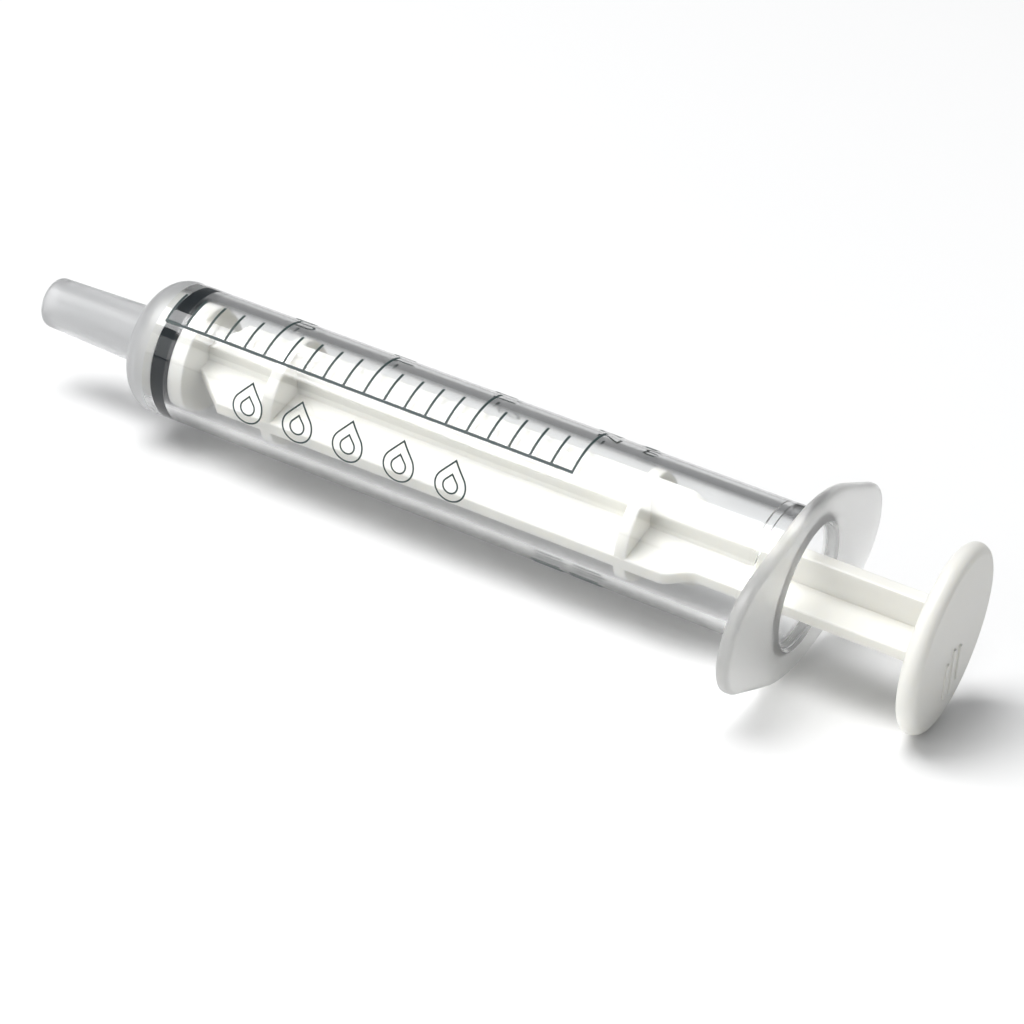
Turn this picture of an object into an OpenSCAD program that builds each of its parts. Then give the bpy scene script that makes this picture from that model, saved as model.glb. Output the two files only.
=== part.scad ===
// Oral syringe, 2 ml, with a slip nozzle: a clear barrel, a cross-ribbed plunger and a rubber seal ring.
// The nozzle's mouth is the origin, +X runs along the axis to the thumb rest, and +Z is up.
// The plunger stands fully home. All sizes are in millimetres.

/* [Barrel] */
// Outside diameter of the tube
barrel_d = 10.4; // [9.8:0.1:14]
// Diameter of the bore that the seal ring runs in
bore_d = 8.62; // [7.4:0.02:8.8]
// Length of the barrel behind the last line of the scale
tail_len = 17.43; // [15:0.01:30]
// Thickness of the wall in front of the bore
front_wall = 1.1; // [0.8:0.1:1.6]
// Radius of the rounded shoulder at the front
shoulder_r = 1.9; // [0.5:0.1:2.3]
// Diameter of the bore's mouth, where the plunger goes in
mouth_d = 9.2; // [8.9:0.1:9.4]
// Chamfer on the mouth's edge
mouth_chamfer = 0.2; // [0.05:0.05:0.25]
// Distance from the rear mouth to the ridge that keeps the seal ring in
ridge_back = 3.4; // [2:0.1:6]
// Height of that ridge above the bore
ridge_h = 0.1; // [0.08:0.01:0.12]
// Width of the ridge's crest
ridge_w = 0.5; // [0.3:0.1:1]

/* [Nozzle] */
// Length of the nozzle in front of the barrel
nozzle_len = 9.6; // [7:0.1:14]
// Diameter of the nozzle's tip
nozzle_tip_d = 3.94; // [3.4:0.01:4.4]
// Growth in diameter per millimetre of length
nozzle_taper = 0.06; // [0:0.01:0.08]
// Radius of the rounded edge at the tip
nozzle_edge_r = 0.4; // [0.1:0.05:0.5]
// Diameter of the passage through the nozzle
passage_d = 2; // [1.2:0.1:2.4]

/* [Finger flange] */
// Length from tip to tip
flange_len = 26.6; // [22:0.1:34]
// Width across the middle
flange_w = 13.8; // [12:0.1:16]
// Length of the straight middle of each long side, which the syringe lies on
flange_flat = 5; // [3:0.1:8]
// Radius of each tip
flange_tip_r = 4.5; // [3:0.1:5.5]
// Thickness
flange_t = 1; // [0.8:0.1:1.6]

/* [Plunger] */
// Angle that the plunger is turned to in the barrel
plunger_turn = 17.8; // [0:0.1:90]
// Clearance between the ribs and the bore, on the radius
rib_gap = 0.2; // [0.2:0.01:0.35]
// Thickness of each rib
rib_t = 1; // [0.7:0.1:1.6]
// Length of the nose in front of the seal ring
nose_len = 1.45; // [1:0.05:3]
// Gap between the nose and the front wall when the plunger is home
home_gap = 0.1; // [0.05:0.05:0.5]
// Thickness of the disc behind the seal ring
back_disc_t = 1.3; // [0.6:0.1:2]
// Depth of the seal ring's groove
groove_depth = 1.1; // [0.7:0.1:1.6]
// Radius of the ribs where they leave the back disc
rib_root_r = 1.6; // [1.2:0.1:3]
// Length over which the ribs rise to full height
rib_rise = 3.2; // [1:0.1:5]
// Distance from the zero line to the front web disc
front_web = 9.8; // [7:0.1:20]
// Distance from the rear mouth to the rear web disc
rear_web = 12.5; // [11:0.1:25]
// Thickness of each web disc
web_t = 1; // [0.6:0.1:1.6]
// Distance from the rear mouth to where the ribs start to narrow
neck_back = 9.4; // [8:0.1:10.4]
// Length over which the ribs narrow
neck_len = 2.5; // [1:0.1:4]
// Radius of the ribs behind the neck
stem_r = 3; // [2:0.1:3.8]
// Distance from the rear mouth to the thumb rest
thumb_gap = 9.35; // [6:0.05:16]
// Diameter of the thumb rest
thumb_d = 13.85; // [11:0.05:18]
// Thickness of the thumb rest
thumb_t = 1.5; // [1:0.1:2.4]
// Height of the raised grip bars on the thumb rest
grip_h = 0.15; // [0.1:0.05:0.3]

/* [Seal ring] */
// Distance from the ring's front to the zero line of the scale when the plunger is home
zero_back = 0.35; // [0:0.05:0.6]
// Width of the ring
ring_w = 1.4; // [1:0.1:2.4]
// Running clearance between the ring and the bore, and around the groove
ring_gap = 0.03; // [0.02:0.01:0.05]
// Radius of the ring's edges
ring_edge_r = 0.2; // [0.1:0.05:0.3]

/* [Scale] */
// Volume between two neighbouring lines, in millilitres
division_ml = 0.1; // [0.05:0.01:0.12]
// Number of divisions
divisions = 20; // [5:1:22]
// Divisions from one long line to the next
long_every = 5; // [2:1:10]
// Width of a printed line
line_w = 0.2; // [0.1:0.02:0.3]
// Thickness of the ink
ink_t = 0.02; // [0.01:0.01:0.04]
// Height of the numerals
numeral_h = 1.8; // [1.2:0.1:2.4]
// Width of the strokes of the small marks
stroke_w = 0.13; // [0.08:0.01:0.2]

/* [Hidden] */
$fn = 96;

barrel_r = barrel_d / 2;
bore_r = bore_d / 2;
front_x = nozzle_len;
bore_x = front_x + front_wall;
nose_x = bore_x + home_gap;
ring_x = nose_x + nose_len;
zero_x = ring_x + zero_back;
// The divisions follow from the bore, so the scale reads true at any bore diameter, and the barrel holds it.
division_len = division_ml * 1000 / (PI * bore_r * bore_r);
scale_len = divisions * division_len;
rear_x = zero_x + scale_len + tail_len;
barrel_len = rear_x - front_x;
ridge_x = rear_x - ridge_back;
ridge_r = bore_r - ridge_h;

nozzle_tip_r = nozzle_tip_d / 2;
nozzle_root_r = nozzle_tip_r + nozzle_taper * nozzle_len / 2;

flange_tip_x = flange_len / 2 - flange_tip_r;
// The sides slope from the ends of the straight middle so that they are tangent to the tips.
flange_run = flange_tip_x - flange_flat / 2;
flange_slope = acos(flange_tip_r / norm([flange_run, flange_w / 2])) - atan2(flange_run, flange_w / 2);

groove_w = ring_w + 2 * ring_gap;
groove_x = ring_x - ring_gap;
rib_r = bore_r - rib_gap;
groove_r = rib_r - groove_depth;
back_disc_x = groove_x + groove_w;
ribs_x = back_disc_x + back_disc_t;
neck_x = rear_x - neck_back;
thumb_x = rear_x + thumb_gap;

// Angles around the barrel start at +Z and grow towards -Y.
scale_angle = 45.8;
short_span = 33;
long_span = 60;
numeral_angle = scale_angle - long_span - 4;
drop_angle = 88.8;
side_angle = 142.8;

overlap = 0.5;

// Turns what is modelled along Z so that it lies along X.
module along_x() {
    rotate([90, 0, 90]) children();
}

// A solid of revolution about X: the outline's x is the radius and its y is the place along X.
module turned() {
    along_x() rotate_extrude() children();
}

// A round rod along X from one place to the next.
module rod(r, x_from, x_to) {
    along_x() translate([0, 0, x_from]) cylinder(r = r, h = x_to - x_from);
}

// A disc about X whose rim is fully rounded.
module round_disc(r, thickness) {
    turned() {
        translate([0, -thickness / 2]) square([r - thickness / 2, thickness]);
        translate([r - thickness / 2, 0]) circle(r = thickness / 2, $fn = 48);
    }
}

// ---- Barrel ----

module nozzle() {
    turned() {
        polygon([
            [0, 0], [nozzle_tip_r - nozzle_edge_r, 0], [nozzle_tip_r - nozzle_edge_r, nozzle_edge_r],
            [nozzle_tip_r, nozzle_edge_r], [nozzle_root_r, front_x], [nozzle_root_r, front_x + overlap],
            [0, front_x + overlap]
        ]);
        translate([nozzle_tip_r - nozzle_edge_r, nozzle_edge_r]) circle(r = nozzle_edge_r, $fn = 48);
    }
}

module tube() {
    turned() {
        translate([0, front_x]) square([barrel_r - shoulder_r, barrel_len]);
        translate([0, front_x + shoulder_r]) square([barrel_r, barrel_len - shoulder_r]);
        translate([barrel_r - shoulder_r, front_x + shoulder_r]) circle(r = shoulder_r);
    }
}

// The flange's outline in the plane of its face: a tip circle at each end, and sides tangent to them.
module flange_outline() {
    tangent = flange_tip_r * [sin(flange_slope), cos(flange_slope)];
    corner = [flange_flat / 2, flange_w / 2];
    upper_side = [
        [-flange_tip_x - tangent[0], tangent[1]], [-corner[0], corner[1]], corner,
        [flange_tip_x + tangent[0], tangent[1]]
    ];
    lower_side = [for (i = [len(upper_side) - 1:-1:0]) [upper_side[i][0], -upper_side[i][1]]];
    polygon(concat(upper_side, lower_side));
    for (end = [-1, 1]) {
        translate([end * flange_tip_x, 0]) circle(r = flange_tip_r);
    }
}

module flange() {
    along_x() translate([0, 0, rear_x - flange_t]) linear_extrude(flange_t) flange_outline();
}

module bore() {
    lead_x = ridge_x + ridge_w;
    rod(passage_d / 2, -overlap, bore_x + overlap);
    rod(bore_r, bore_x, ridge_x);
    rod(ridge_r, ridge_x - overlap, rear_x);
    turned() polygon([
        [0, lead_x], [ridge_r, lead_x], [bore_r, lead_x + ridge_h], [mouth_d / 2, rear_x - mouth_chamfer],
        [mouth_d / 2 + mouth_chamfer, rear_x], [mouth_d / 2 + mouth_chamfer, rear_x + overlap],
        [0, rear_x + overlap]
    ]);
}

module barrel() {
    color([0.86, 0.9, 0.94, 0.4]) difference() {
        union() {
            nozzle();
            tube();
            flange();
        }
        bore();
    }
}

// ---- Plunger ----

// A smooth S-shaped step of radius between two places along the axis.
function step_curve(x_from, x_to, r_from, r_to, steps = 12) =
    [for (i = [0:steps]) let (s = i / steps)
        [x_from + (x_to - x_from) * s, r_from + (r_to - r_from) * (1 - cos(180 * s)) / 2]];

rib_edge = concat(
    [[ribs_x - overlap, rib_root_r], [ribs_x, rib_root_r], [ribs_x + rib_rise, rib_r]],
    step_curve(neck_x, neck_x + neck_len, rib_r, stem_r),
    [[thumb_x + overlap, stem_r]]
);

// The flat outline of one pair of opposite ribs.
module rib_pair() {
    last = len(rib_edge) - 1;
    lower_edge = [for (i = [last:-1:0]) [rib_edge[i][0], -rib_edge[i][1]]];
    linear_extrude(rib_t, center = true) polygon(concat(rib_edge, lower_edge));
}

module head() {
    rod(rib_r, nose_x, groove_x);
    rod(groove_r, groove_x - overlap, back_disc_x + overlap);
    rod(rib_r, back_disc_x, ribs_x);
}

// Raised bars that keep the thumb from sliding.
module grip_bars() {
    bar_w = 0.35;
    bar_gap = 1.1;
    bar_len = 4.2;
    face_x = thumb_x + thumb_t;
    for (i = [-1:1]) {
        translate([face_x + grip_h / 2 - overlap / 2, i * bar_gap, -thumb_d / 5])
            cube([grip_h + overlap, bar_w, bar_len - abs(i)], center = true);
    }
}

module plunger() {
    color([0.95, 0.95, 0.92]) rotate([plunger_turn, 0, 0]) {
        head();
        rib_pair();
        rotate([90, 0, 0]) rib_pair();
        for (web_x = [zero_x + front_web, rear_x - rear_web]) {
            rod(rib_r, web_x - web_t / 2, web_x + web_t / 2);
        }
        translate([thumb_x + thumb_t / 2, 0, 0]) round_disc(thumb_d / 2, thumb_t);
        grip_bars();
    }
}

// ---- Seal ring ----

module seal_ring() {
    outer_r = bore_r - ring_gap;
    inner_r = groove_r + ring_gap;
    color([0.1, 0.12, 0.15]) turned() difference() {
        union() {
            translate([0, ring_x]) square([outer_r - ring_edge_r, ring_w]);
            translate([0, ring_x + ring_edge_r]) square([outer_r, ring_w - 2 * ring_edge_r]);
            for (edge_x = [ring_x + ring_edge_r, ring_x + ring_w - ring_edge_r]) {
                translate([outer_r - ring_edge_r, edge_x]) circle(r = ring_edge_r, $fn = 32);
            }
        }
        translate([0, ring_x - overlap]) square([inner_r, ring_w + 2 * overlap]);
    }
}

// ---- Printing on the barrel ----

// A printed band around the barrel, from one angle to a smaller one.
module band(x_from, length, angle, span) {
    along_x() rotate([0, 0, 90 + angle - span]) rotate_extrude(angle = span)
        translate([barrel_r, x_from]) square([ink_t, length]);
}

// Prints a flat drawing on the barrel: its x runs along the axis, and its y points up at the given angle.
module printed(x_at, angle) {
    intersection() {
        rotate([angle, 0, 0]) translate([x_at, 0, 0]) linear_extrude(barrel_d) children();
        difference() {
            rod(barrel_r + ink_t, front_x + shoulder_r, rear_x - flange_t);
            rod(barrel_r, front_x, rear_x);
        }
    }
}

// How far up the drawing of the scale a line reaches that turns through the given angle from the base line.
function scale_y(span) = barrel_r * sin(span - long_span / 2);

// The base line, and the cross lines that start just above it.
module scale_lines() {
    foot = scale_y(0) + line_w + ink_t;
    color([0.2, 0.27, 0.27]) printed(zero_x - line_w / 2, scale_angle - long_span / 2) {
        translate([0, scale_y(0)]) square([scale_len + line_w, line_w]);
        for (i = [0:divisions]) {
            span = i % long_every == 0 && i > 0 ? long_span : short_span;
            translate([i * division_len, foot]) square([line_w, scale_y(span) - foot]);
        }
    }
}

// A ring of the given middle radius, kept between two angles.
module arc(r, from, to) {
    reach = 2 * r;
    middle = (from + to) / 2;
    intersection() {
        difference() {
            circle(r = r + line_w / 2, $fn = 48);
            circle(r = r - line_w / 2, $fn = 48);
        }
        polygon([
            [0, 0], reach * [cos(from), sin(from)], reach * [cos((from + middle) / 2), sin((from + middle) / 2)],
            reach * [cos(middle), sin(middle)], reach * [cos((to + middle) / 2), sin((to + middle) / 2)],
            reach * [cos(to), sin(to)]
        ]);
    }
}

// A straight stroke between two points.
module stroke(a, b) {
    d = b - a;
    translate(a) rotate(atan2(d[1], d[0])) translate([0, -line_w / 2]) square([norm(d), line_w]);
}

// The figures that the scale needs, drawn upright with the lower left corner at the origin.
bowl_r = numeral_h * 0.28;
module figure(name) {
    h = numeral_h;
    half = line_w / 2;
    if (name == "0") {
        for (y = [bowl_r, h - bowl_r]) {
            translate([bowl_r, y]) arc(bowl_r - half, y > h / 2 ? 0 : 180, y > h / 2 ? 180 : 360);
        }
        for (x = [half, 2 * bowl_r - half]) stroke([x, bowl_r], [x, h - bowl_r]);
    }
    if (name == "1") {
        stroke([bowl_r, 0], [bowl_r, h]);
        stroke([bowl_r, h - half], [bowl_r - h / 5, h - h / 4]);
    }
    if (name == "2") {
        foot = (bowl_r - half) * [cos(30), -sin(30)];
        translate([bowl_r, h - bowl_r]) arc(bowl_r - half, -30, 170);
        stroke([bowl_r, h - bowl_r] + foot, [half, half]);
        stroke([0, half], [2 * bowl_r, half]);
    }
    if (name == "5") {
        translate([bowl_r, bowl_r + half / 2]) arc(bowl_r, -150, 120);
        stroke([bowl_r * 0.4, bowl_r * 1.8], [bowl_r * 0.5, h]);
        stroke([bowl_r * 0.4, h - half], [bowl_r * 1.9, h - half]);
    }
    if (name == ".") {
        square(line_w * 1.2);
    }
    if (name == "m") {
        leg = numeral_h * 0.36;
        for (x = [half, leg + half, 2 * leg + half]) stroke([x, 0], [x, h / 2 - leg / 2]);
        for (x = [0, leg]) translate([x + leg / 2 + half, h / 2 - leg / 2]) arc(leg / 2, 0, 180);
    }
    if (name == "l") {
        stroke([half, 0], [half, h]);
    }
}

// How far the next figure starts after each one.
function advance(name) = name == "." ? line_w * 2.8 : name == "m" ? numeral_h : 2 * bowl_r + line_w * 1.6;

// A row of figures that reads with the nozzle pointing up.
module figures(names, place = 0) {
    if (place < len(names)) {
        figure(names[place]);
        translate([advance(names[place]), 0]) figures(names, place + 1);
    }
}

module row_of_figures(names, x_at) {
    text_angle = numeral_angle - len(names) * 7;
    row_start = -len(names) * 7 * PI / 180 * barrel_r;
    printed(x_at, text_angle) rotate(90) translate([row_start, -numeral_h / 2]) figures(names);
}

module scale_numerals() {
    names = [["0", ".", "5"], ["1"], ["1", ".", "5"], ["2"]];
    longs = floor(divisions / long_every);
    color([0.2, 0.27, 0.27]) {
        for (i = [0:min(longs, len(names)) - 1]) {
            row_of_figures(names[i], zero_x + (i + 1) * long_every * division_len);
        }
        row_of_figures(["m", "l"], zero_x + scale_len + numeral_h * 1.6);
    }
}

// A drop with its point up, about the centre of its round end.
module drop(r) {
    point = r * 1.5;
    tangent = asin(r / point);
    circle(r = r);
    polygon([[r * cos(tangent), r * sin(tangent)], [0, point], [-r * cos(tangent), r * sin(tangent)]]);
}

module drop_outline(r) {
    difference() {
        drop(r);
        drop(r - stroke_w);
    }
}

module drop_marks() {
    drop_r = 1.3;
    drop_pitch = 4.3;
    first_x = zero_x + 8.7;
    color([0.2, 0.27, 0.27]) for (i = [0:4]) {
        printed(first_x + i * drop_pitch, drop_angle) {
            drop_outline(drop_r);
            drop_outline(drop_r / 2);
        }
    }
}

// Three short bars, twice, low on the side.
module side_bars() {
    bar_len = 2.6;
    bar_turn = 5;
    color([0.2, 0.27, 0.27]) for (group = [0, 1]) {
        for (i = [-1:1]) {
            band(zero_x + scale_len - 2 + group * (bar_len + 0.5), bar_len - abs(i) * 0.3,
                side_angle + i * bar_turn, stroke_w / barrel_r * 180 / PI);
        }
    }
}

barrel();
plunger();
seal_ring();
scale_lines();
scale_numerals();
drop_marks();
side_bars();
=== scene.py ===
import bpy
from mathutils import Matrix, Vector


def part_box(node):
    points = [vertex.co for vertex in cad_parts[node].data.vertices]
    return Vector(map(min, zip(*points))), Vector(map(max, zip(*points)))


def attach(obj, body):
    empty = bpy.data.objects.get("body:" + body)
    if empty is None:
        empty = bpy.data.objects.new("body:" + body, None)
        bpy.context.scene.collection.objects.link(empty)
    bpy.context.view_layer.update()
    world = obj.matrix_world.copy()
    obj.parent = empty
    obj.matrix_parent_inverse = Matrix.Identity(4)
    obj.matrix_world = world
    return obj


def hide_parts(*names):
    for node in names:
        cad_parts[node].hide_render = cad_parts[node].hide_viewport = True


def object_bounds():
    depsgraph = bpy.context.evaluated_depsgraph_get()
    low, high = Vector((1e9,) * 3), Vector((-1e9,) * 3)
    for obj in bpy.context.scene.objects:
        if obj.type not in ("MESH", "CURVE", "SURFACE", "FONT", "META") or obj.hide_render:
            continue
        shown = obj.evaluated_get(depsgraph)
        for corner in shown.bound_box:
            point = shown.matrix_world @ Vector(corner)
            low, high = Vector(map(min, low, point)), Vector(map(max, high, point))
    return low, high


bl_info = {
    "name": "Oral Syringe",
    "version": (1, 0, 0),
    "blender": (4, 5, 0),
    "location": "3D View > Sidebar > Oral Syringe",
    "description": "Builds a clear 2 ml oral syringe on its packed frame, and a small studio for it",
    "category": "Add Mesh",
}

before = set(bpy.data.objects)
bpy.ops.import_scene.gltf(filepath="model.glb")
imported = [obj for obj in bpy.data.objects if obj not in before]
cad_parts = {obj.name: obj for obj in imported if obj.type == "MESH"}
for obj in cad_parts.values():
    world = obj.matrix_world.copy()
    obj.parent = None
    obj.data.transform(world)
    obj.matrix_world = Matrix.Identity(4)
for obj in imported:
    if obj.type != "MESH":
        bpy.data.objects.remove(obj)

import math

import bpy
from bpy.props import FloatProperty, FloatVectorProperty, IntProperty, PointerProperty
from bpy.types import Operator, Panel, PropertyGroup
from mathutils import Matrix, Quaternion, Vector

CAD_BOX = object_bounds()
BARREL_HIGH = Vector(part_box("barrel")[1])
RING_LOW, RING_HIGH = (Vector(corner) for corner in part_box("seal_ring"))
PLUNGER_LOW = Vector(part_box("plunger")[0])
INK_NODES = ("scale_lines", "scale_numerals", "drop_marks", "side_bars")
WELD = 2e-7  # points nearer to each other than this are one point
NEAR = 1e-6  # a point this near to a circle is on it


def length(name, description, default):
    """A size in metres that the panel shows."""
    return FloatProperty(
        name=name, description=description, default=default,
        min=0, precision=5, unit="LENGTH", subtype="DISTANCE",
    )


def angle(name, description, degrees):
    """An angle that the panel shows."""
    return FloatProperty(name=name, description=description, default=math.radians(degrees), subtype="ANGLE")


def colour(name, description, default):
    """A colour that the panel shows."""
    return FloatVectorProperty(
        name=name, description=description, default=default, min=0, max=1, size=3, subtype="COLOR"
    )


class BarrelSizes(PropertyGroup):
    """Sizes of the clear barrel."""

    outside_radius: length("Outside radius", "Radius of the tube's outside", 0.0052)
    bore_radius: length("Bore radius", "Radius of the bore that the seal ring runs in", 0.00431)
    nozzle_length: length("Nozzle length", "Distance from the nozzle's mouth to the front face", 0.0096)
    tip_radius: length("Nozzle tip radius", "Radius of the nozzle at its mouth", 0.00197)
    root_radius: length("Nozzle root radius", "Radius of the nozzle where it meets the barrel", 0.002258)
    tip_edge: length("Nozzle edge", "Radius of the rounded edge at the nozzle's mouth", 0.0004)
    passage_radius: length("Passage radius", "Radius of the passage through the nozzle", 0.001)
    shoulder: length("Shoulder", "Radius of the rounded shoulder at the front", 0.0019)
    front_wall: length("Front wall", "Thickness of the wall in front of the bore", 0.0011)
    fillet: length("Fillet", "Radius of the small inside corners", 0.0003)
    ridge_back: length("Ridge distance", "Distance from the rear mouth to the stop ridge", 0.0034)
    ridge_height: length("Ridge height", "Height of the stop ridge above the bore", 0.0001)
    ridge_width: length("Ridge width", "Width of the stop ridge's crest", 0.0005)
    mouth_radius: length("Mouth radius", "Radius of the rear mouth", 0.0046)
    mouth_chamfer: length("Mouth chamfer", "Chamfer on the rear mouth's edge", 0.0002)
    flange_thickness: length("Flange thickness", "Thickness of the finger flange", 0.001)
    flange_flat: length("Flange flat", "Length of the straight middle of each long side", 0.005)
    flange_tip: length("Flange tip radius", "Radius of each end of the flange", 0.0045)
    flange_rim: length("Flange rim", "Radius of the rounding along the flange's rim", 0.0004)
    ink_bed: length("Ink bed", "Depth to which the printing sits in the surface", 0.000004)
    steps: IntProperty(
        name="Steps", description="Number of faces around the tube", default=192, min=48, max=384
    )


class PlungerSizes(PropertyGroup):
    """Sizes of the plunger and its seal ring."""

    turn: angle("Turn", "Angle that the plunger is turned to in the barrel", 17.8)
    edge_softness: length("Edge softness", "Radius of the moulded edges of the ribs and discs", 0.00014)
    disc_radius: length("Disc radius", "Radius of the discs and of the ribs inside the bore", 0.00411)
    groove_radius: length("Groove radius", "Radius at the bottom of the seal ring's groove", 0.00301)
    groove_gap: length("Groove gap", "Clearance beside the seal ring in its groove", 0.00003)
    back_disc: length("Back disc", "Thickness of the disc behind the seal ring", 0.0013)
    rib_thickness: length("Rib thickness", "Thickness of each rib", 0.001)
    rib_root: length("Rib root", "Radius of the ribs where they leave the back disc", 0.0016)
    rib_rise: length("Rib rise", "Length over which the ribs rise to full height", 0.0032)
    web_thickness: length("Web thickness", "Thickness of each web disc", 0.001)
    front_web: length("Front web", "Distance from the nozzle's mouth to the front web disc", 0.0224)
    rear_web: length("Rear web", "Distance from the barrel's rear mouth to the rear web disc", 0.0125)
    neck_back: length("Neck distance", "Distance from the rear mouth to where the ribs narrow", 0.0094)
    neck_length: length("Neck length", "Length over which the ribs narrow", 0.0025)
    stem_radius: length("Stem radius", "Radius of the ribs behind the neck", 0.003)
    thumb_gap: length("Thumb gap", "Distance from the rear mouth to the thumb rest", 0.00935)
    thumb_radius: length("Thumb rest radius", "Radius of the thumb rest", 0.006925)
    thumb_thickness: length("Thumb rest thickness", "Thickness of the thumb rest, with a round rim", 0.0015)
    grip_height: length("Grip height", "Height of the raised bars on the thumb rest", 0.00015)
    grip_width: length("Grip width", "Width of each raised bar", 0.00035)
    grip_spacing: length("Grip spacing", "Distance from one raised bar to the next", 0.0011)
    grip_length: length("Grip length", "Length of the middle bar", 0.0042)
    grip_step: length("Grip step", "How much shorter the bars beside the middle one are", 0.00098)
    grip_drop: length("Grip drop", "Distance from the thumb rest's middle to the bars' middle", 0.00277)
    ring_inside: length("Ring inside radius", "Radius of the hole in the seal ring", 0.00304)
    ring_edge: length("Ring edge", "Radius of the seal ring's edges", 0.0002)
    ring_squeeze: length("Ring squeeze", "How far the ring presses into the bore", 0.000006)


class Colours(PropertyGroup):
    """Colours of the finishes."""

    clear: colour("Clear plastic", "Tint of the clear tube", (0.985, 0.99, 0.992))
    frosted: colour("Frosted plastic", "Colour of the milky nozzle and shoulder", (0.72, 0.725, 0.73))
    # painted light: the flange is the same milky plastic as the nozzle, coloured lighter to stand in for the
    # light that its rear-facing faces don't get
    flange: colour("Flange", "Colour of the milky flange", (0.95, 0.95, 0.94))
    white: colour("White plastic", "Colour of the plunger", (0.81, 0.805, 0.765))
    rubber: colour("Rubber", "Colour of the seal ring", (0.005, 0.009, 0.012))
    ink: colour("Ink", "Colour of the printing", (0.022, 0.042, 0.042))
    floor: colour("Floor", "Colour of the studio floor", (0.97, 0.97, 0.97))
    room: colour("Room", "Colour of the light from the room around", (0.97, 0.985, 1))


class StudioSettings(PropertyGroup):
    """Camera, lights and floor of the studio."""

    distance: length("Camera distance", "Distance from the camera to the point that it looks at", 0.203575)
    azimuth: angle("Azimuth", "Direction of the camera around the syringe", 24.4)
    elevation: angle("Elevation", "Height of the camera as an angle", 26.034)
    roll: angle("Roll", "Turn of the camera about its own view", 9.77)
    aim: FloatVectorProperty(
        name="Aim", description="Point that the camera looks at", default=(0.041182, 0.00007, -0.002898),
        size=3, unit="LENGTH", subtype="XYZ",
    )
    lens: FloatProperty(
        name="Lens", description="Focal length in millimetres", default=99.059, min=20, max=300
    )
    light: FloatProperty(
        name="Light", description="Power of the large soft light overhead", default=50, min=0, unit="POWER"
    )
    fill: FloatProperty(
        name="Fill", description="Power of the wide dim light in front", default=13, min=0, unit="POWER"
    )
    surroundings: FloatProperty(
        name="Surroundings", description="Brightness of the room around", default=0.24, min=0, max=4
    )
    floor_side: length("Floor side", "Side of the square floor", 2.4)


# ---- Finishes ----


PLASTIC_IOR = 1.49
CLEAR_PASSING, MILKY_PASSING = 0.75, 0.3  # shares of the lamps' light that go straight through the plastic
EDGE_ON_PAINTED_SHADE = 0.6  # share of the clear tint's brightness that is left where a wall is seen edge on: painted shade, partly standing for the longer path through the plastic


class Signal:
    """One output of a shader node. Arithmetic on it adds the Math nodes."""

    def __init__(self, tree, socket):
        self.tree, self.socket = tree, socket

    def node(self, kind, settings=None, sockets=None, output=0):
        """Adds a node of any kind: its settings come first, and then its sockets are filled or linked."""
        made = self.tree.nodes.new(kind)
        for key, value in (settings or {}).items():
            setattr(made, key, value)
        for key, value in (sockets or {}).items():
            if isinstance(value, Signal):
                self.tree.links.new(value.socket, made.inputs[key])
            else:
                made.inputs[key].default_value = value
        return Signal(self.tree, made.outputs[output] if len(made.outputs) else None)

    def maths(self, operation, other):
        """Adds a Math node that takes this output and another value or output."""
        return self.node("ShaderNodeMath", {"operation": operation}, {0: self, 1: other})

    def __add__(self, other):
        return self.maths("ADD", other)

    def __mul__(self, other):
        return self.maths("MULTIPLY", other)

    __radd__ = __add__
    __rmul__ = __mul__


def new_finish(name):
    """A material with an empty node tree, and a signal to build it from: the place on the piece."""
    material = bpy.data.materials.new(name)
    material.use_nodes = True
    material.node_tree.nodes.clear()
    start = Signal(material.node_tree, None)
    return material, start.node("ShaderNodeTexCoord", output="Object")


def noise(place, cells, detail=3.0, stretch=(1, 1, 1)):
    """Soft random variation from 0 to 1, with the given number of cells per metre."""
    placed = place.node("ShaderNodeMapping", None, {"Vector": place, "Scale": stretch})
    return place.node("ShaderNodeTexNoise", None, {"Vector": placed, "Scale": cells, "Detail": detail})


def raised(height, strength, depth):
    """A bumped normal whose height stands for a depth in metres."""
    return height.node("ShaderNodeBump", None, {"Strength": strength, "Distance": depth, "Height": height})


def shades(factor, dark, light):
    """A colour that runs from dark to light with the factor."""
    return factor.node(
        "ShaderNodeMix", {"data_type": "RGBA"}, {0: factor, 6: (*dark, 1), 7: (*light, 1)}, output=2
    )


def scaled(shade, amount):
    """A colour made darker or lighter by the amount."""
    return tuple(part * amount for part in shade)


def finished(material, place, passing=0, **sockets):
    """Ends a material with one Principled shader, which may pass a share of the lamps' light straight on."""
    names = {key.replace("_", " ").title().replace("Ior", "IOR"): value for key, value in sockets.items()}
    shader = place.node("ShaderNodeBsdfPrincipled", None, names)
    if passing:
        shadow = place.node("ShaderNodeLightPath", output="Is Shadow Ray")
        clear = place.node("ShaderNodeBsdfTransparent")
        shader = place.node("ShaderNodeMixShader", None, {0: shadow * passing, 1: shader, 2: clear})
    place.node("ShaderNodeOutputMaterial", None, {"Surface": shader})
    return material


def clear_plastic(name, tint, roughness):
    """Clear moulded plastic, with faint flow lines along the tube, and painted shade that darkens its tint
    where a wall is seen edge on.
    """
    material, place = new_finish(name)
    haze = noise(place, cells=220)
    flow = noise(place, cells=900, detail=2, stretch=(0.05, 1, 1))
    # painted shade: the tint darkens where the wall is seen edge on, partly for the longer path through the
    # plastic and partly for the shade seen through the tube
    edge_on_shade = place.node("ShaderNodeLayerWeight", None, {"Blend": 0.35}, output="Facing")
    return finished(
        material, place,
        base_color=shades(edge_on_shade * edge_on_shade * (0.8 + haze * 0.2), tint, scaled(tint, EDGE_ON_PAINTED_SHADE)),
        roughness=roughness + haze * 0.04,
        normal=raised(flow, strength=0.12, depth=0.00003),
        ior=PLASTIC_IOR, transmission_weight=1.0, passing=CLEAR_PASSING,
    )


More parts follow.
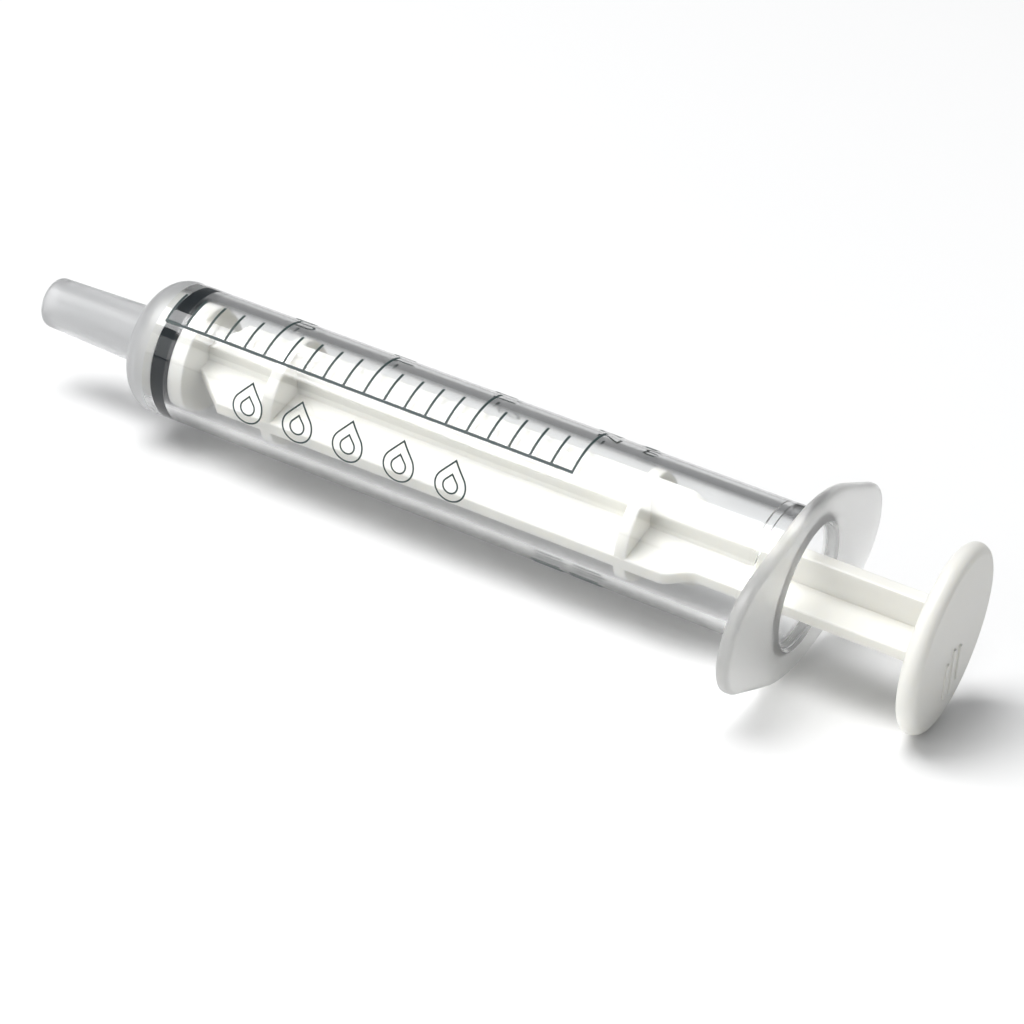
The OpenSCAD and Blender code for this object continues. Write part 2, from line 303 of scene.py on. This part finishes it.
def frosted_plastic(name, shade, clearness):
    """The same plastic where the mould is matt: milky, with a fine grain."""
    material, place = new_finish(name)
    cloud = noise(place, cells=350)
    grain = noise(place, cells=9000, detail=2)
    return finished(
        material, place,
        base_color=shades(cloud, scaled(shade, 0.97), shade),
        roughness=0.33 + cloud * 0.1,
        normal=raised(grain, strength=0.2, depth=0.00001),
        ior=PLASTIC_IOR, transmission_weight=clearness, passing=MILKY_PASSING,
    )


def white_plastic(shade):
    """White moulded plastic with a satin surface, thin enough for some light to spread inside it."""
    material, place = new_finish("white plastic")
    cloud = noise(place, cells=260)
    grain = noise(place, cells=5000, detail=2)
    return finished(
        material, place,
        base_color=shades(cloud, scaled(shade, 0.975), shade),
        roughness=0.34 + cloud * 0.12,
        normal=raised(grain, strength=0.15, depth=0.00001),
        ior=PLASTIC_IOR,
        subsurface_weight=0.6, subsurface_radius=(1.0, 0.95, 0.85), subsurface_scale=0.0008,
    )


def rubber(shade):
    """Black moulded rubber, oiled so that it slides."""
    material, place = new_finish("black rubber")
    cloud = noise(place, cells=500)
    grain = noise(place, cells=8000, detail=2)
    return finished(
        material, place,
        base_color=shades(cloud, scaled(shade, 0.8), scaled(shade, 1.2)),
        roughness=0.38 + cloud * 0.14,
        normal=raised(grain, strength=0.3, depth=0.00001),
        ior=1.5, specular_ior_level=0.1,
    )


def ink(shade):
    """Screen-printed ink: dark, a little uneven, with a slight gloss."""
    material, place = new_finish("ink")
    cover = noise(place, cells=2600)
    return finished(
        material, place,
        base_color=shades(cover, scaled(shade, 0.8), scaled(shade, 1.35)),
        roughness=0.4 + cover * 0.2,
        ior=1.5,
    )


def floor_paint(shade):
    """A pale matt studio floor."""
    material, place = new_finish("studio floor")
    cloud = noise(place, cells=6)
    return finished(
        material, place,
        base_color=shades(cloud, scaled(shade, 0.99), shade),
        roughness=0.6 + cloud * 0.1,
    )


# ---- Shapes ----


FILLET_PARTS = 6
SHARP_ANGLE, SMOOTH_ANGLE = math.radians(40), math.radians(30)
CORNER_POWER = 24  # how closely the flange's outline keeps to its corners, where its long sides turn


def from_axis(point):
    """Distance of a point from the tube's axis."""
    return math.hypot(point.y, point.z)


def arc(centre, radius, start, end, parts):
    """Points (place along the axis, radius) of an arc between two angles in degrees."""
    angles = [math.radians(start + (end - start) * i / parts) for i in range(parts + 1)]
    return [(centre[0] + radius * math.cos(a), centre[1] + radius * math.sin(a)) for a in angles]


def drawn(name, outline, closed):
    """Draws an outline of (X, Z) points corner by corner, and leaves it selected in edit mode."""
    bpy.ops.object.select_all(action="DESELECT")
    bpy.ops.mesh.primitive_plane_add(size=0.001)
    piece = bpy.context.object
    piece.name = piece.data.name = name
    bpy.ops.object.mode_set(mode="EDIT")
    bpy.ops.mesh.select_mode(type="VERT")
    bpy.ops.mesh.merge(type="CENTER")
    bpy.ops.transform.translate(value=(outline[0][0], 0, outline[0][1]))
    last = outline[0]
    for corner in outline[1:] + (outline[:1] if closed else []):
        move = (corner[0] - last[0], 0, corner[1] - last[1])
        bpy.ops.mesh.extrude_region_move(TRANSFORM_OT_translate={"value": move})
        last = corner
    bpy.ops.mesh.select_all(action="SELECT")
    bpy.ops.mesh.remove_doubles(threshold=WELD)
    return piece


def turned(name, outline, steps, closed):
    """Spins an outline of (place along X, radius) points about X."""
    piece = drawn(name, outline, closed)
    bpy.ops.mesh.spin(steps=steps, angle=2 * math.pi, center=(0, 0, 0), axis=(1, 0, 0))
    bpy.ops.mesh.select_all(action="SELECT")
    bpy.ops.mesh.remove_doubles(threshold=WELD)
    bpy.ops.object.mode_set(mode="OBJECT")
    return piece


def face_outward():
    """Turns every face of the mesh that is open in edit mode outward, and closes edit mode."""
    bpy.ops.mesh.select_all(action="SELECT")
    bpy.ops.mesh.normals_make_consistent(inside=False)
    bpy.ops.object.mode_set(mode="OBJECT")


def round_block(name, outline, steps, closed=False):
    """A solid of revolution whose outline is closed, or starts and ends on the axis."""
    piece = turned(name, outline, steps, closed)
    bpy.ops.object.mode_set(mode="EDIT")
    face_outward()
    return piece


def soften_edges(softness):
    """Rounds every sharp edge of the mesh that is open in edit mode, and closes edit mode."""
    bpy.ops.mesh.select_mode(type="EDGE")
    bpy.ops.mesh.select_all(action="DESELECT")
    bpy.ops.mesh.edges_select_sharp(sharpness=SHARP_ANGLE)
    bpy.ops.mesh.bevel(offset=softness, segments=3, profile=0.5, affect="EDGES")
    face_outward()


def plate(name, outline, thickness, softness):
    """A flat plate with rounded edges, standing in the plane of X and Z."""
    piece = drawn(name, outline, closed=True)
    bpy.ops.mesh.edge_face_add()
    bpy.ops.transform.translate(value=(0, -thickness / 2, 0))
    bpy.ops.mesh.extrude_region_move(TRANSFORM_OT_translate={"value": (0, thickness, 0)})
    soften_edges(softness)
    return piece


def bar(name, middle, size, softness):
    """A small block with rounded edges."""
    bpy.ops.object.select_all(action="DESELECT")
    bpy.ops.mesh.primitive_cube_add(size=1)
    piece = bpy.context.object
    piece.name = piece.data.name = name
    bpy.ops.object.mode_set(mode="EDIT")
    bpy.ops.transform.resize(value=size)
    bpy.ops.transform.translate(value=middle)
    soften_edges(softness)
    return piece


def united(piece, others):
    """Joins solids that run into each other into one solid."""
    for other in others:
        union = piece.modifiers.new("Union", "BOOLEAN")
        union.operation, union.solver, union.object = "UNION", "EXACT", other
        bpy.context.view_layer.objects.active = piece
        bpy.ops.object.modifier_apply(modifier=union.name)
        bpy.data.objects.remove(other)
    bpy.ops.object.mode_set(mode="EDIT")
    bpy.ops.mesh.select_all(action="SELECT")
    bpy.ops.mesh.remove_doubles(threshold=WELD)
    bpy.ops.mesh.dissolve_degenerate(threshold=WELD)
    bpy.ops.object.mode_set(mode="OBJECT")
    return piece


def select_edges(piece, test):
    """Selects the edges whose two ends pass the test, and leaves the piece in edit mode."""
    bpy.ops.object.mode_set(mode="EDIT")
    bpy.ops.mesh.select_mode(type="EDGE")
    bpy.ops.mesh.select_all(action="DESELECT")
    bpy.ops.object.mode_set(mode="OBJECT")
    points = [vertex.co for vertex in piece.data.vertices]
    for edge in piece.data.edges:
        edge.select = test(*(points[i] for i in edge.vertices))
    bpy.ops.object.mode_set(mode="EDIT")


def flange_reach(point, sizes):
    """Distance from the axis to the flange's outline, in the point's direction from the axis."""
    half_length, half_width = BARREL_HIGH.y, BARREL_HIGH.z
    size = from_axis(point)
    y, z = abs(point.y) / size, abs(point.z) / size
    centre = half_length - sizes.flange_tip
    run = centre - sizes.flange_flat / 2
    slope = math.acos(sizes.flange_tip / math.hypot(run, half_width)) - math.atan2(run, half_width)
    side = (math.sin(slope), math.cos(slope))
    touch = (centre + sizes.flange_tip * side[0], sizes.flange_tip * side[1])
    if z * touch[0] < y * touch[1]:
        along = y * centre
        return along + math.sqrt(along * along - centre * centre + sizes.flange_tip ** 2)
    sloped = (sizes.flange_tip + side[0] * centre) / (side[0] * y + side[1] * z)
    return (sloped ** -CORNER_POWER + (z / half_width) ** CORNER_POWER) ** (-1 / CORNER_POWER)


def smoothed(piece):
    """Smooth shading, with the flat faces kept flat."""
    bpy.ops.object.select_all(action="DESELECT")
    piece.select_set(True)
    bpy.context.view_layer.objects.active = piece
    bpy.ops.object.shade_smooth_by_angle(angle=SMOOTH_ANGLE)
    weights = piece.modifiers.new("Flat faces", "WEIGHTED_NORMAL")
    weights.keep_sharp = True
    bpy.ops.object.modifier_apply(modifier=weights.name)


def barrel_outline(sizes):
    """The outline of the tube: from the flange's front, around the nozzle and back through the bore."""
    s, f = sizes, sizes.fillet
    outside = s.outside_radius + s.ink_bed
    rear = BARREL_HIGH.x
    flange = rear - s.flange_thickness
    bore_start = s.nozzle_length + s.front_wall
    ridge = rear - s.ridge_back
    return (
        arc((flange - f, outside + f), f, 0, -90, FILLET_PARTS)
        + [(RING_LOW.x - f, outside)]
        + arc((s.nozzle_length + s.shoulder, outside - s.shoulder), s.shoulder, 90, 180, parts=20)
        + arc((s.nozzle_length - f, s.root_radius + f), f, 0, -90, FILLET_PARTS)
        + arc((s.tip_edge, s.tip_radius - s.tip_edge), s.tip_edge, 90, 180, parts=10)
        + arc((f / 2, s.passage_radius + f / 2), f / 2, 180, 270, parts=5)
        + [(bore_start, s.passage_radius)]
        + arc((bore_start + f, s.bore_radius - f), f, 180, 90, FILLET_PARTS)
        + [
            (ridge - s.ridge_height, s.bore_radius), (ridge, s.bore_radius - s.ridge_height),
            (ridge + s.ridge_width, s.bore_radius - s.ridge_height),
            (ridge + s.ridge_width + s.ridge_height, s.bore_radius),
            (rear - s.mouth_chamfer, s.mouth_radius), (rear, s.mouth_radius + s.mouth_chamfer),
        ]
    )


def grow_outward(piece, sizes, place, radius):
    """Extrudes a round edge of the tube, at a place along X, out to the flange's outline."""
    def on_edge(point):
        return abs(point.x - place) < WELD and abs(from_axis(point) - radius) < NEAR

    select_edges(piece, lambda first, second: on_edge(first) and on_edge(second))
    bpy.ops.mesh.extrude_region_move(TRANSFORM_OT_translate={"value": (0, 0, 0)})
    bpy.ops.object.mode_set(mode="OBJECT")
    for vertex in piece.data.vertices:
        if vertex.select:
            grow = flange_reach(vertex.co, sizes) / from_axis(vertex.co)
            vertex.co.y, vertex.co.z = vertex.co.y * grow, vertex.co.z * grow


def add_flange(piece, sizes, front):
    """Adds the finger flange to the open rear end of the tube, and rounds its rim."""
    grow_outward(piece, sizes, front, sizes.outside_radius + sizes.ink_bed + sizes.fillet)
    grow_outward(piece, sizes, BARREL_HIGH.x, sizes.mouth_radius + sizes.mouth_chamfer)

    def on_rim(first, second):
        return all(
            point.x > front - WELD and from_axis(point) > BARREL_HIGH.z - sizes.fillet
            for point in (first, second)
        )

    select_edges(piece, on_rim)
    bpy.ops.mesh.bridge_edge_loops()
    select_edges(piece, lambda first, second: on_rim(first, second) and abs(first.x - second.x) < WELD)
    bpy.ops.mesh.bevel(offset=sizes.flange_rim, segments=6, profile=0.5, affect="EDGES")
    face_outward()


def disc_outline(front, back, radius, softness):
    """The outline of a disc with a rounded rim, from the axis round to the axis."""
    return (
        [(front, 0)]
        + arc((front + softness, radius - softness), softness, 180, 90, parts=5)
        + arc((back - softness, radius - softness), softness, 90, 0, parts=5)
        + [(back, 0)]
    )


def head_outline(sizes, nose, groove_front, groove_back, back):
    """The outline of the plunger's head: the nose, the seal ring's groove and the back disc."""
    front = disc_outline(nose, groove_front, sizes.disc_radius, sizes.edge_softness)[:-1]
    rear = disc_outline(groove_back, back, sizes.disc_radius, sizes.edge_softness)[1:]
    return front + [(groove_front, sizes.groove_radius), (groove_back, sizes.groove_radius)] + rear


def rib_outline(sizes, start, neck, end):
    """The outline of two opposite ribs: they rise from the head, and narrow to the stem at the neck."""
    high, low = sizes.disc_radius, sizes.stem_radius
    edge = [
        (start - sizes.back_disc / 2, sizes.rib_root), (start, sizes.rib_root),
        (start + sizes.rib_rise, high),
    ]
    parts = 12
    for i in range(parts + 1):
        share = (1 - math.cos(math.pi * i / parts)) / 2
        edge.append((neck + sizes.neck_length * i / parts, high + (low - high) * share))
    edge.append((end, low))
    return edge + [(x, -z) for x, z in reversed(edge)]


def grip_bars(sizes, face):
    """Three bars that stand up from the thumb rest's face, and reach down into it."""
    sunk = 2 * sizes.grip_height
    height = sizes.grip_height + sunk
    return [
        bar(
            "grip_bar",
            (face + sizes.grip_height - height / 2, i * sizes.grip_spacing, -sizes.grip_drop),
            (height, sizes.grip_width, sizes.grip_length - abs(i) * sizes.grip_step),
            sizes.grip_height / 2,
        )
        for i in (-1, 0, 1)
    ]


def ring_outline(sizes, front, back, outside):
    """The outline of the seal ring: a band with rounded edges."""
    e = sizes.ring_edge
    return (
        [(front, sizes.ring_inside), (front, outside - e)]
        + arc((front + e, outside - e), e, 180, 90, FILLET_PARTS)[1:]
        + arc((back - e, outside - e), e, 90, 0, FILLET_PARTS)
        + [(back, sizes.ring_inside)]
    )


# ---- Operators ----


class MakeBarrel(Operator):
    """Makes the clear barrel with its nozzle and finger flange"""

    bl_idname = "oral_syringe.make_barrel"
    bl_label = "Barrel"

    def execute(self, context):
        sizes, colours = context.scene.syringe_barrel, context.scene.syringe_colours
        front = BARREL_HIGH.x - sizes.flange_thickness
        piece = turned("clear_barrel", barrel_outline(sizes), sizes.steps, closed=False)
        add_flange(piece, sizes, front)

        for finish in (
            clear_plastic("clear plastic", colours.clear, roughness=0.04),
            clear_plastic("hazy bore", colours.clear, roughness=0.1),
            frosted_plastic("frosted nozzle", colours.frosted, clearness=0.65),
            # painted light: a lighter copy of the nozzle's milky plastic, for the light that the flange's
            # rear face doesn't get
            frosted_plastic("milky flange", colours.flange, clearness=0.85),
        ):
            piece.data.materials.append(finish)
        clear, hazy, frosted, milky = range(4)
        tube = sizes.outside_radius + sizes.ink_bed
        for face in piece.data.polygons:
            radius = from_axis(face.center)
            if face.center.x < RING_LOW.x:
                face.material_index = frosted
            elif face.center.x > front - sizes.fillet and radius > tube + sizes.ink_bed:
                face.material_index = milky
            elif radius < (sizes.outside_radius + sizes.mouth_radius) / 2:
                face.material_index = hazy
            else:
                face.material_index = clear
        smoothed(piece)
        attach(piece, "barrel_body")
        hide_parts("barrel")
        return {"FINISHED"}


class MakePlunger(Operator):
    """Makes the white plunger: its head, crossed ribs, web discs and thumb rest"""

    bl_idname = "oral_syringe.make_plunger"
    bl_label = "Plunger"

    def execute(self, context):
        sizes, colours = context.scene.syringe_plunger, context.scene.syringe_colours
        steps, soft = context.scene.syringe_barrel.steps, sizes.edge_softness
        groove_front, groove_back = RING_LOW.x - sizes.groove_gap, RING_HIGH.x + sizes.groove_gap
        back = groove_back + sizes.back_disc
        rear = BARREL_HIGH.x
        thumb = rear + sizes.thumb_gap
        face = thumb + sizes.thumb_thickness

        head = head_outline(sizes, PLUNGER_LOW.x, groove_front, groove_back, back)
        piece = round_block("white_plunger", head, steps)
        rim = sizes.thumb_thickness / 2
        ribs = rib_outline(sizes, back, rear - sizes.neck_back, thumb + rim)
        upright = plate("upright_ribs", ribs, sizes.rib_thickness, soft)
        level = plate("level_ribs", ribs, sizes.rib_thickness, soft)
        level.data.transform(Matrix.Rotation(math.pi / 2, 4, "X"))
        half = sizes.web_thickness / 2
        webs = [
            round_block("web_disc", disc_outline(x - half, x + half, sizes.disc_radius, soft), steps)
            for x in (sizes.front_web, rear - sizes.rear_web)
        ]
        thumb_outline = (
            [(thumb, 0)]
            + arc((thumb + rim, sizes.thumb_radius - rim), rim, 180, 0, parts=18)
            + [(face, 0)]
        )
        thumb_rest = round_block("thumb_rest", thumb_outline, steps)
        united(piece, [upright, level, *webs, thumb_rest, *grip_bars(sizes, face)])
        piece.data.transform(Matrix.Rotation(sizes.turn, 4, "X"))
        piece.data.materials.append(white_plastic(colours.white))
        smoothed(piece)
        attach(piece, "plunger_body")
        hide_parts("plunger")
        return {"FINISHED"}


class MakeSealRing(Operator):
    """Makes the rubber seal ring in the plunger's groove"""

    bl_idname = "oral_syringe.make_seal_ring"
    bl_label = "Seal ring"

    def execute(self, context):
        sizes, colours = context.scene.syringe_plunger, context.scene.syringe_colours
        barrel = context.scene.syringe_barrel
        outline = ring_outline(sizes, RING_LOW.x, RING_HIGH.x, barrel.bore_radius + sizes.ring_squeeze)
        piece = round_block("rubber_ring", outline, barrel.steps, closed=True)
        piece.data.materials.append(rubber(colours.rubber))
        smoothed(piece)
        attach(piece, "seal_body")
        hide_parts("seal_ring")
        return {"FINISHED"}


class PrintBarrel(Operator):
    """Gives the printing on the barrel its ink"""

    bl_idname = "oral_syringe.print_barrel"
    bl_label = "Printing"

    def execute(self, context):
        printed = ink(context.scene.syringe_colours.ink)
        for name in INK_NODES:
            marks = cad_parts[name].data.materials
            marks.clear()
            marks.append(printed)
        return {"FINISHED"}


class MakeStage(Operator):
    """Makes the floor, the lights and the camera"""

    bl_idname = "oral_syringe.make_stage"
    bl_label = "Studio"

    def execute(self, context):
        studio, colours = context.scene.syringe_studio, context.scene.syringe_colours
        bpy.ops.object.select_all(action="DESELECT")
        lowest = CAD_BOX[0][2]
        bpy.ops.mesh.primitive_plane_add(size=studio.floor_side, location=(studio.aim[0], 0, lowest))
        floor = context.object
        floor.name = "studio_floor"
        floor.data.materials.append(floor_paint(colours.floor))

        aim = Vector(studio.aim)
        for name, place, across, along, power in (
            ("soft_light", (-0.72, -0.6, 1.98), 1.32, 1.63, studio.light),
            ("fill_light", (-1.2, -1.9, 0.7), 2.0, 1.2, studio.fill),
        ):
            bpy.ops.object.light_add(type="AREA", location=place)
            lamp = context.object
            lamp.name = name
            lamp.rotation_euler = (aim - Vector(place)).to_track_quat("-Z", "Y").to_euler()
            lamp.data.shape = "RECTANGLE"
            lamp.data.size, lamp.data.size_y = across, along
            lamp.data.energy = power

        world = bpy.data.worlds.new("studio")
        world.use_nodes = True
        background = world.node_tree.nodes["Background"]
        background.inputs["Color"].default_value = (*colours.room, 1)
        background.inputs["Strength"].default_value = studio.surroundings
        context.scene.world = world
        context.scene.view_settings.view_transform = "Standard"

        level = math.cos(studio.elevation)
        back = Vector((
            math.sin(studio.azimuth) * level, -math.cos(studio.azimuth) * level, math.sin(studio.elevation)
        ))
        bpy.ops.object.camera_add(location=aim + back * studio.distance)
        camera = context.object
        facing = (-back).to_track_quat("-Z", "Y")
        camera.rotation_euler = (facing @ Quaternion((0, 0, 1), studio.roll)).to_euler()
        camera.data.lens = studio.lens
        camera.data.clip_start = 0.01
        context.scene.camera = camera
        return {"FINISHED"}


class SyringePanel(Panel):
    """Lists the syringe's pieces and their sizes"""

    bl_idname = "VIEW3D_PT_oral_syringe"
    bl_label = "Oral Syringe"
    bl_space_type = "VIEW_3D"
    bl_region_type = "UI"
    bl_category = "Oral Syringe"

    def draw(self, context):
        for operator in OPERATORS:
            self.layout.operator(operator.bl_idname)
        for store, (group, _) in STORES.items():
            box = self.layout.box()
            for name in group.__annotations__:
                box.prop(getattr(context.scene, store), name)


STORES = {
    "syringe_barrel": (BarrelSizes, "Sizes of the barrel"),
    "syringe_plunger": (PlungerSizes, "Sizes of the plunger and seal ring"),
    "syringe_colours": (Colours, "Colours of the finishes"),
    "syringe_studio": (StudioSettings, "Settings of the studio"),
}
OPERATORS = (MakeBarrel, MakePlunger, MakeSealRing, PrintBarrel, MakeStage)


def register():
    for store, (group, description) in STORES.items():
        bpy.utils.register_class(group)
        setattr(bpy.types.Scene, store, PointerProperty(type=group, description=description))
    for kind in (*OPERATORS, SyringePanel):
        bpy.utils.register_class(kind)


def unregister():
    for kind in (SyringePanel, *reversed(OPERATORS)):
        bpy.utils.unregister_class(kind)
    for store, (group, _) in STORES.items():
        delattr(bpy.types.Scene, store)
        bpy.utils.unregister_class(group)


def main():
    register()
    bpy.ops.oral_syringe.make_barrel()
    bpy.ops.oral_syringe.make_plunger()
    bpy.ops.oral_syringe.make_seal_ring()
    bpy.ops.oral_syringe.print_barrel()
    bpy.ops.oral_syringe.make_stage()


if __name__ == "__main__":
    main()
